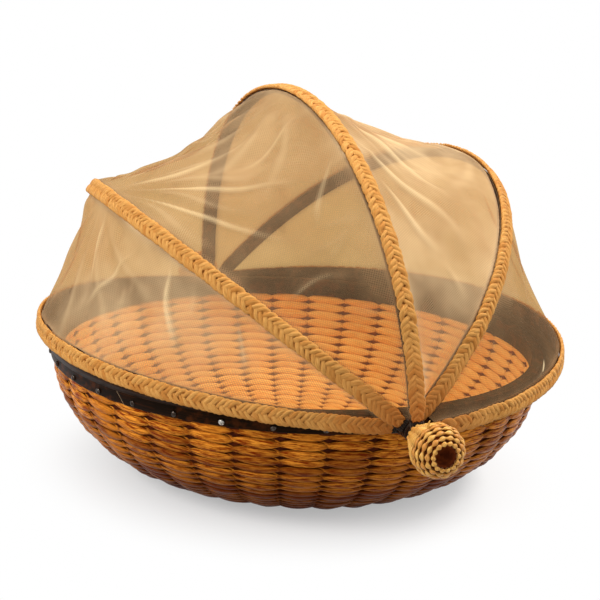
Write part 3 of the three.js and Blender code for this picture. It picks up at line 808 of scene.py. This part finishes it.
def knob_weave(shape, curve, place, seed):
    random = np.random.default_rng(seed)
    pitches = np.full(KNOB_ROWS, curve.length / KNOB_ROWS)
    centres = np.cumsum(pitches) - pitches / 2
    turn = ring(KNOB_STAKES * 10)
    over, beside = np.cos(KNOB_STAKES * turn / 2), np.sin(KNOB_STAKES * turn / 2)
    cosine, sine = oval(1.0, 1.0, 8, 1.0).T
    for _, sign, centre, bend, pitch, swell in strands(random, turn, KNOB_STAKES, centres, pitches, 0.06):
        half = pitch * (0.13 + 0.32 * np.abs(over) ** 1.3) * (1 + 0.05 * swell)
        out = sign * KNOB_REACH * over + 0.08 * swell
        along = centre + bend + sign * 0.05 * pitch * beside
        points, lift, _ = laid(curve, place, turn, along, half, out, KNOB_STRAND_HALF, sine, cosine)
        # painted shade where a strand lies deeper in the weave
        painted_shade = np.clip(0.5 - 0.5 * lift / (KNOB_REACH + KNOB_STRAND_HALF), 0, 1)
        shade = np.clip(0.5 + 0.28 * random.normal() + 0.15 * swell[:, None], 0, 1)
        tone = toned(lift.shape, 0.0, painted_shade, shade)
        shape.grid(points, tone, turn * 10.0, np.linspace(0, 2.4 * pitch, 9), closed_along=True)


# Lid


def hoop_point(hoop, psi, level, across):
    """A point of a hoop at its angle. psi runs from the right pin over the hoop to the left pin."""
    reach = FIRST_EYE + hoop[2] * EYE_PITCH
    psi, level, across = np.broadcast_arrays(np.asarray(psi, float), level, across)
    out_x, out_y = HOOP_APEX * np.cos(psi), -reach * np.sin(psi)
    size = np.hypot(out_x, out_y)
    x = reach * np.cos(psi) + level * out_x / size
    y = -HOOP_APEX * np.sin(psi) + level * out_y / size
    y, z = spun(y, across, -math.radians(hoop[1]))
    return np.stack([x, y, z + PIN_HEIGHT], -1)


def over_hoop(height, count):
    """Angles over a hoop, from a height above the pins' axis on one side to the same on the other."""
    start = math.asin(height / HOOP_APEX)
    return np.linspace(start, math.pi - start, count)


def narrowing(psi, least):
    """Share of its full width that a strip or braid has, from least at the pins to 1."""
    return least + (1 - least) * smooth(HOOP_APEX * np.sin(psi), 3.0, 17.0)


def strip(hoop):
    """The dark strip under the braid, with a round eye on the pin at each end."""
    name, _, seat, body = hoop
    shape = Shape()
    section = np.array(rounded(-STRIP_WIDTH / 2, STRIP_WIDTH / 2, 0.0, STRIP_THICKNESS, 0.45, 2))
    psi = over_hoop(STRIP_START, 150)
    points = hoop_point(hoop, psi[:, None], section[:, 1], section[:, 0] * narrowing(psi[:, None], STRIP_LEAST))
    size = np.linspace(0, 2 * (STRIP_WIDTH + STRIP_THICKNESS), len(section) + 1)
    shape.grid(points, (1, 0, 0, 0), psi * HOOP_APEX, size, caps=True)
    if name in SKIRTS:
        # a thin dark skirt, a sheet of painted shade, leans in from the strip's lower edge to the top of the rim
        psi = over_hoop(SKIRT_START, 150)
        lower = SKIRTS[name] * (STRIP_WIDTH / 2 - 0.8)
        outer, inner = (hoop_point(hoop, psi, level, lower) for level in (1.3, 0.4))
        feet = [
            axis_frame()(radius, np.arctan2(y, x), np.minimum(SKIRT_BOTTOM, z - 0.6))
            for (x, y, z), radius in ((inner.T, SKIRT_FOOT_RADIUS), (outer.T, SKIRT_FOOT_RADIUS + 0.8))
        ]
        points = np.stack([outer, inner, *feet], 1)
        shape.grid(points, (0, 0, 0, 0), psi * HOOP_APEX, np.array([0.0, 1.0, 6.0, 7.0, 12.0]), caps=True)
    inner = FIRST_EYE + seat * EYE_PITCH
    eye = rounded(PIN_RADIUS + 0.3, EYE_RADIUS, inner, inner + STRIP_THICKNESS, 0.4, 2)
    for side in (1, -1):
        turned(shape, eye, 36, axis_frame(side))
    shape.piece(f"strip_{name}", STRIP, "dark_lacquer", [f"hoop_strip_{name}"], body)


def braid(hoop, seed):
    """A flat plait of five straws. Each crosses over the middle from its edge, then under to the other."""
    name, _, _, body = hoop
    random = np.random.default_rng(seed)
    shape = Shape()
    fine = over_hoop(BRAID_START, 3000)
    length = lengths(hoop_point(hoop, fine, BRAID_LEVEL, 0.0))
    s = np.linspace(0, length[-1], int(length[-1] / BRAID_LAY * 15))
    psi = np.interp(s, length, fine)
    height = HOOP_APEX * np.sin(psi)
    high = BRAID_END_HEIGHT + (BRAID_HEIGHT - BRAID_END_HEIGHT) * smooth(height, BRAID_THIN_UNTIL, BRAID_FULL_FROM)
    narrow = narrowing(psi, BRAID_LEAST)
    near = 1 - smooth(height, 6.0, 60.0)[:, None]
    patches = int(s[-1] / BRAID_LAY * 2)

    def wave(length):
        return np.sin(s / length + random.uniform(0, TURN))

    def drawn(level, across, sections, tone):
        """Sweeps a section along the hoop."""
        line = hoop_point(hoop, psi, level, across)
        swept(shape, line, hoop_point(hoop, psi, level + 1.0, across) - line, sections, tone)

    section = oval(1.0, 1.0, 8, 0.8)
    for straw in range(BRAID_STRAWS):
        drift = 0.24 * wave(41.0) + 0.2 * wave(11.0)
        theta = TURN * (s / BRAID_LAY + straw / BRAID_STRAWS) + drift
        thick = 0.235 * high * (1 + 0.12 * wave(9.0))
        lift = 0.17 * high
        half_width = (1.32 + 0.22 * wave(5.3)) * narrow
        across = (BRAID_WIDTH / 2 - 1.15) * narrow * np.sin(theta)
        outward = (across / (BRAID_WIDTH / 2 * narrow)) ** 2
        crown = (high - 2 * thick - 2 * lift) * (1 - outward)
        level = BRAID_LEVEL + thick + lift + crown - lift * np.sin(2 * theta)
        # painted shade: the lower a straw lies in the plait, and the lower side of each straw, the darker
        depth = ((level - BRAID_LEVEL) / high)[:, None]
        painted_shade = np.clip(1.1 - 1.15 * depth - 0.35 * section[:, 1], 0, 1) * (1 - 0.45 * outward)[:, None]
        shade = np.interp(s, np.linspace(0, s[-1], patches), random.uniform(0, 1, patches))[:, None]
        sections = section * np.stack([half_width, thick], -1)[:, None]
        drawn(level, across, sections, toned(painted_shade.shape, near, painted_shade, shade))
    # a flat straw, dark with painted shade, lies under the plait, so that no light comes through between it and the
    # strip
    low = 0.26 * high
    drawn(BRAID_LEVEL + low, 0.0, oval(3.3, 1.0, 8, 0.5) * np.stack([narrow, low], -1)[:, None], (0, 0.75, 0, 0))
    # dark cord goes round the strip between its eye and the foot of the braid
    cord = Shape()
    t = ring(28)
    for side in (0, 1):
        for k in range(3):
            foot = math.asin((5.5 + 0.85 * k) / HOOP_APEX)
            at = (math.pi - foot if side else foot) + 0.3 * np.cos(t + k) / HOOP_APEX
            wide = STRIP_WIDTH / 2 * narrowing(foot, STRIP_LEAST) + 0.25
            square = oval(wide, STRIP_THICKNESS / 2 + 0.2, 28, 0.5)
            loop = hoop_point(hoop, at, STRIP_THICKNESS / 2 + square[:, 1], square[:, 0])
            middle = hoop_point(hoop, at, STRIP_THICKNESS / 2, square[:, 0] * 0.8)
            swept(cord, loop, loop - middle, oval(0.45, 0.25, 6, 0.9), closed=True)
    cord.piece(f"foot_binding_{name}", CORD, "dark_cord", body=body)
    shape.piece(f"braid_{name}", BRAID, "straw_braid", [f"hoop_braid_{name}"], body)


# First a panel's name, sag between its two hoops, heights between which it goes from open, with threads painted
# darker, to dense, with threads painted paler as light, how dense and how much lit it is, and the soft folds that
# spread from a hoop's middle (0 the front hoop, 1 the rear one, and how close they lie). Then its creases: height
# and width in mm, and a line of points, in percent of the way over the hoops from the right and of the way from the
# front hoop to the rear one.
NET_PANELS = [
    (
        ("net_panel_front", 4.0, 66.0, 118.0, 1.0, [(1, 13)]),
        (1.2, 2.1, (47.5, 98), (46, 60), (44, 34)),
        (1.0, 2.1, (39, 90), (42, 55), (44, 34), (47, 12)),
        (1.3, 2.2, (33, 98), (31.5, 66), (28.5, 40), (28, 25)),
        (1.0, 2.2, (56, 96), (60, 50), (62, 20)),
        (0.8, 2.1, (23, 95), (20, 50), (19, 25)),
        (0.9, 2.2, (70, 95), (68, 50), (73, 10)),
        (0.7, 2.1, (82, 90), (79, 30)),
    ),
    (
        ("net_panel_front_top", 11.0, 110.0, 275.0, 1.0, [(0, 15), (1, 11)]),
        (1.2, 2.2, (49.5, 2), (47.5, 40), (45, 80)),
        (1.4, 2.2, (48, 2), (42, 30), (36, 60), (31.5, 95)),
        (1.3, 2.2, (46, 3), (37, 18), (30, 34), (24, 62)),
        (1.0, 2.1, (51.5, 3), (55, 45), (54, 90)),
        (0.8, 2.0, (44, 97), (41.5, 66), (43, 42)),
        (0.9, 2.1, (34, 97), (29, 74), (25, 64)),
        (1.0, 2.2, (60, 95), (63, 50), (60, 6)),
        (0.8, 2.1, (72, 90), (70, 40), (75, 10)),
        (0.7, 2.1, (20, 10), (21, 50), (18, 85)),
    ),
    (
        ("net_panel_rear_top", 8.0, 20.0, 120.0, 1.2, [(0, 14), (1, 9)]),
        (1.6, 3.4, (43, 3), (40, 30), (33, 55), (30, 90)),
        (1.5, 3.2, (37, 3), (31, 25), (27, 60), (20, 85)),
        (1.1, 2.1, (50, 97), (46, 62), (45, 30)),
        (1.3, 3.0, (30, 4), (24, 30), (21, 66)),
        (1.3, 3.0, (46, 3), (44, 45), (40, 95)),
        (1.1, 2.2, (56, 4), (58, 45), (55, 95)),
        (0.9, 2.2, (66, 6), (64, 50), (68, 92)),
        (0.8, 2.1, (78, 10), (75, 80)),
    ),
    (
        ("net_panel_rear", 6.0, 80.0, 150.0, 0.5, [(0, 12)]),
        (1.2, 2.2, (49, 3), (46, 40), (43, 80)),
        (1.1, 2.2, (51, 3), (56, 35), (58, 75)),
        (1.0, 2.1, (42, 4), (36, 35), (34, 70)),
        (1.0, 2.1, (62, 4), (66, 50), (65, 90)),
        (0.8, 2.1, (30, 10), (26, 60)),
        (0.8, 2.1, (74, 10), (72, 60), (76, 90)),
    ),
]


def crease(psi, width, v, line, size):
    """How near each point of a panel is to a crease, from 0 to 1, fading towards the crease's ends."""
    x, y = psi * HOOP_APEX, (v - 0.5) * width
    knots = np.array(line) * (math.pi, 1)
    t = np.linspace(0, len(knots) - 1, 9 * (len(knots) - 1) + 1)
    turn, share = smooth_line(knots, t).T
    px = turn * HOOP_APEX
    py = (share - 0.5) * np.interp(turn, psi[:, 0], width[:, 0])
    t = t / t[-1]
    best = np.zeros(np.broadcast_shapes(psi.shape, v.shape))
    for k in range(len(t) - 1):
        dx, dy = px[k + 1] - px[k], py[k + 1] - py[k]
        near = np.clip(((x - px[k]) * dx + (y - py[k]) * dy) / (dx * dx + dy * dy), 0, 1)
        off = np.hypot(x - px[k] - near * dx, y - py[k] - near * dy)
        place = t[k] + near * (t[k + 1] - t[k])
        fade = smooth(place, -0.05, 0.25) * (1 - smooth(place, 0.35, 1.0))
        best = np.maximum(best, np.exp(-((off / (size * (0.55 + 1.3 * place))) ** 2)) * fade)
    return best


def smooth_line(values, t):
    """A Catmull-Rom curve through rows of values at whole t."""
    padded = np.concatenate([[2 * values[0] - values[1]], values, [2 * values[-1] - values[-2]]])
    k = np.minimum(t.astype(int), len(values) - 2)
    a, b, c, d = (padded[k + step] for step in range(4))
    u = (t - k)[:, None]
    return b + u / 2 * (c - a + u * (2 * a - 5 * b + 4 * c - d + u * (3 * (b - c) + d - a)))


def fan(psi, width, v, edge, count, phase):
    """Soft folds that spread out from the middle of the hoop at one edge of a panel, from -1 to 1."""
    x, y = (psi - math.pi / 2) * HOOP_APEX, np.abs(v - edge) * width + 2.0
    away = np.hypot(x, y)
    angle = np.arctan2(x, y) + 0.06 * np.sin(away / 15.0 + phase)
    return np.cos(count * angle + phase) * smooth(away, 4, 45) * (1 - smooth(away, 60, 170))


def net_panel(name, sag, open_shaded_below, dense_lit_above, density_and_light, fans, creases, front, rear, seed):
    """The cloth between two hoops, with its sag, its folds and creases, and its edges under the braids."""
    random = np.random.default_rng(seed)
    between = math.radians(rear[1] - front[1])
    # the cloth begins where the two hoops have just parted
    fine = np.linspace(0.03, 0.3, 500)
    parted = HOOP_APEX * np.sin(fine) * between - 2 * NET_EDGE * narrowing(fine, BRAID_LEAST)
    start = fine[np.argmax(parted > NET_START_WIDTH)]
    psi = np.linspace(start, math.pi - start, NET_ROWS)[:, None]
    v = np.linspace(0, 1, NET_COLUMNS)[None, :]
    width = HOOP_APEX * np.sin(psi) * between

    def edge(hoop, across):
        return hoop_point(hoop, psi, NET_LEVEL, across * narrowing(psi, BRAID_LEAST))

    points = edge(front, NET_EDGE) * (1 - v[..., None]) + edge(rear, -NET_EDGE) * v[..., None]
    inward = unit(np.array([0.0, 0.0, PIN_HEIGHT]) - points)
    hang = sag * 4 * v * (1 - v) * np.sin(psi) ** 1.5
    pucker = NET_PUCKER_DEPTH * np.sin(math.pi * v) * np.cos(2 * NET_PUCKERS * psi)
    fold_and_highlight, ridge = np.zeros((2, NET_ROWS, NET_COLUMNS))
    for height, size, *line in creases:
        line = np.array(line) / 100
        near_line = crease(psi, width, v, line, size)
        ridge += height * near_line + 0.6 * height * crease(psi, width, v, line, 5 * size)
        fold_and_highlight = np.maximum(fold_and_highlight, 0.85 * near_line * min(1.0, height / 1.3))
    for side, count in fans:
        # the crests of these folds get a painted highlight
        spread = fan(psi, width, v, side, count, random.uniform(0, TURN))
        ridge += 1.2 * spread
        fold_and_highlight = np.maximum(fold_and_highlight, 0.4 * np.clip(spread, 0, 1) ** 3)
    # a few soft creases lie anywhere
    for _ in range(12):
        p, share = random.uniform(0.12, 0.88), random.uniform(0.1, 0.9)
        line = [(p, share), (p + random.normal(0, 0.04), share + random.choice([-0.4, 0.4]))]
        soft = crease(psi, width, v, line, random.uniform(2.5, 4.5))
        ridge += random.uniform(0.4, 1.0) * soft
        fold_and_highlight = np.maximum(fold_and_highlight, 0.3 * soft)
    flutter = 0.5 * np.sin(psi * 31 + 4 * v) * np.sin(math.pi * v) * np.sin(psi * 7 + random.uniform(0, TURN))
    points = points + inward * (hang + 0.6 * pucker + flutter - ridge)[..., None]
    # the edges run on under the braids
    points = np.concatenate([edge(front, NET_EDGE - NET_TUCK), points, edge(rear, NET_TUCK - NET_EDGE)], 1)
    across = np.concatenate([0 * width - NET_TUCK, v * width, width + NET_TUCK], 1)
    fold_and_highlight, share = (np.pad(part, ((0, 0), (1, 1)), mode="edge") for part in (fold_and_highlight, v + 0 * psi))
    hem = np.exp(-np.minimum(share, 1 - share) * width / 2.2)
    # the cloth is drawn closer together over the crown than low down, and its threads there are painted paler, as
    # painted light
    dense_and_lit = smooth(points[..., 2], open_shaded_below, dense_lit_above) * density_and_light
    shape = Shape()
    # the threads run straight through the cloth, so their place is taken from its flat shape
    tone = toned(share.shape, fold_and_highlight, hem, dense_and_lit)
    shape.grid(points, tone, psi[:, 0] * HOOP_APEX, across - width / 2, closed_around=False)
    made = shape.piece(name.replace("panel", "cloth"), NET, "net", [name], None)
    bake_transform(made)
    # each point's share of the turn is worked out from its share of the width, or near the pins, where hoops crowd
    # together, from the angle; it is not used further
    out, up = -points[..., 1], points[..., 2] - PIN_HEIGHT
    angle = np.degrees(np.arctan2(up, out))
    by_angle = np.clip((angle - front[1]) / (rear[1] - front[1]), 0, 1)
    turning = share + (by_angle - share) * (1 - smooth(np.hypot(out, up), 40.0, 90.0))
    # the flat cloth is its arcs with the tucked edges, and 2% more for the sag
    size = (float(width.max() + 2 * NET_TUCK) * MM * 1.02, float((psi[-1, 0] - psi[0, 0]) * HOOP_APEX) * MM * 1.02)


bowl()
rim()
pivots()
for number, hoop in enumerate(HOOPS):
    strip(hoop)
    braid(hoop, 40 + number)
for number, (panel, *creases) in enumerate(NET_PANELS):
    net_panel(*panel, creases, HOOPS[number], HOOPS[number + 1], 60 + number)
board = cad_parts["base_board"]
for slot in board.material_slots:
    slot.material = BOARD


# Floor, light and camera

FLOOR_HALF = 6.0
# name, place, size, power and colour
LAMPS = [
    ("key", (0.2, 1.0, 1.3), 0.5, 23.5, (1.0, 0.97, 0.93)),
    ("fill", (0.25, -1.2, 0.8), 0.6, 12.0, (1.0, 0.98, 0.96)),
    ("top", (-0.35, -0.1, 1.45), 0.8, 9.0, (1.0, 0.97, 0.92)),
]
TARGET = Vector((0, 0, 0.08))


def aim(made, turn):
    made.rotation_mode = "QUATERNION"
    made.rotation_quaternion = turn


def studio():
    corners = [(x * FLOOR_HALF, y * FLOOR_HALF, 0) for x, y in ((-1, -1), (1, -1), (1, 1), (-1, 1))]
    mesh = bpy.data.meshes.new("floor")
    mesh.from_pydata(corners, [], [(0, 1, 2, 3)])
    material = bpy.data.materials.new("floor")
    mesh.materials.append(material)
    floor = placed("floor", mesh)
    f = Nodes(material)
    seen = f.seen()
    # the floor looks white, but throws little light up at the basket
    colour = f.mix(seen, (0.38, 0.37, 0.36, 1.0), (0.86, 0.86, 0.865, 1.0))
    matt = f.node("ShaderNodeBsdfDiffuse", {"Color": colour})
    glow = f.node("ShaderNodeEmission", {"Color": (1, 1, 1, 1), "Strength": 1.0})
    # the shadow is kept close round the basket
    away = f.node("ShaderNodeVectorMath", {0: f.place()}, operation="LENGTH").outputs["Value"]
    share = f.math("MULTIPLY", seen, f.ranged(away, 0.08, 0.175, 0.4, 1.0))
    f.end_in(f.node("ShaderNodeOutputMaterial"), share, matt, glow)

    world = bpy.data.worlds.new("studio")
    bpy.context.scene.world = world
    f = Nodes(world)
    soft = f.node("ShaderNodeBackground", {"Color": (1.0, 0.985, 0.96, 1), "Strength": 0.5})
    white = f.node("ShaderNodeBackground", {"Color": (1, 1, 1, 1), "Strength": 1.0})
    f.end_in(f.node("ShaderNodeOutputWorld"), f.seen(), soft, white)

    for name, spot, size, power, colour in LAMPS:
        data = bpy.data.lights.new(name, "AREA")
        data.energy, data.color, data.size = power, colour, size
        lamp = placed(name, data)
        lamp.location = spot
        aim(lamp, (TARGET - Vector(spot)).to_track_quat("-Z", "Y"))


def camera():
    """Looks at the middle of the rim from the photograph's side, so that the whole basket fills the frame."""
    azimuth, elevation, roll = math.radians(67.469), math.radians(15.723), math.radians(3.19)
    level = math.cos(elevation)
    back = Vector((math.sin(azimuth) * level, -math.cos(azimuth) * level, math.sin(elevation)))
    data = bpy.data.cameras.new("camera")
    data.sensor_width, data.lens = 36.0, 97.272
    data.shift_x, data.shift_y = 0.0035, 0.058
    data.clip_start, data.clip_end = 0.01, 50
    made = placed("camera", data)
    made.location = TARGET + back * 0.9956
    turn = (-back).to_track_quat("-Z", "Y").to_matrix() @ Matrix.Rotation(roll, 3, "Z")
    aim(made, turn.to_quaternion())
    bpy.context.scene.camera = made


studio()
camera()
bpy.context.scene.view_settings.view_transform = "Standard"
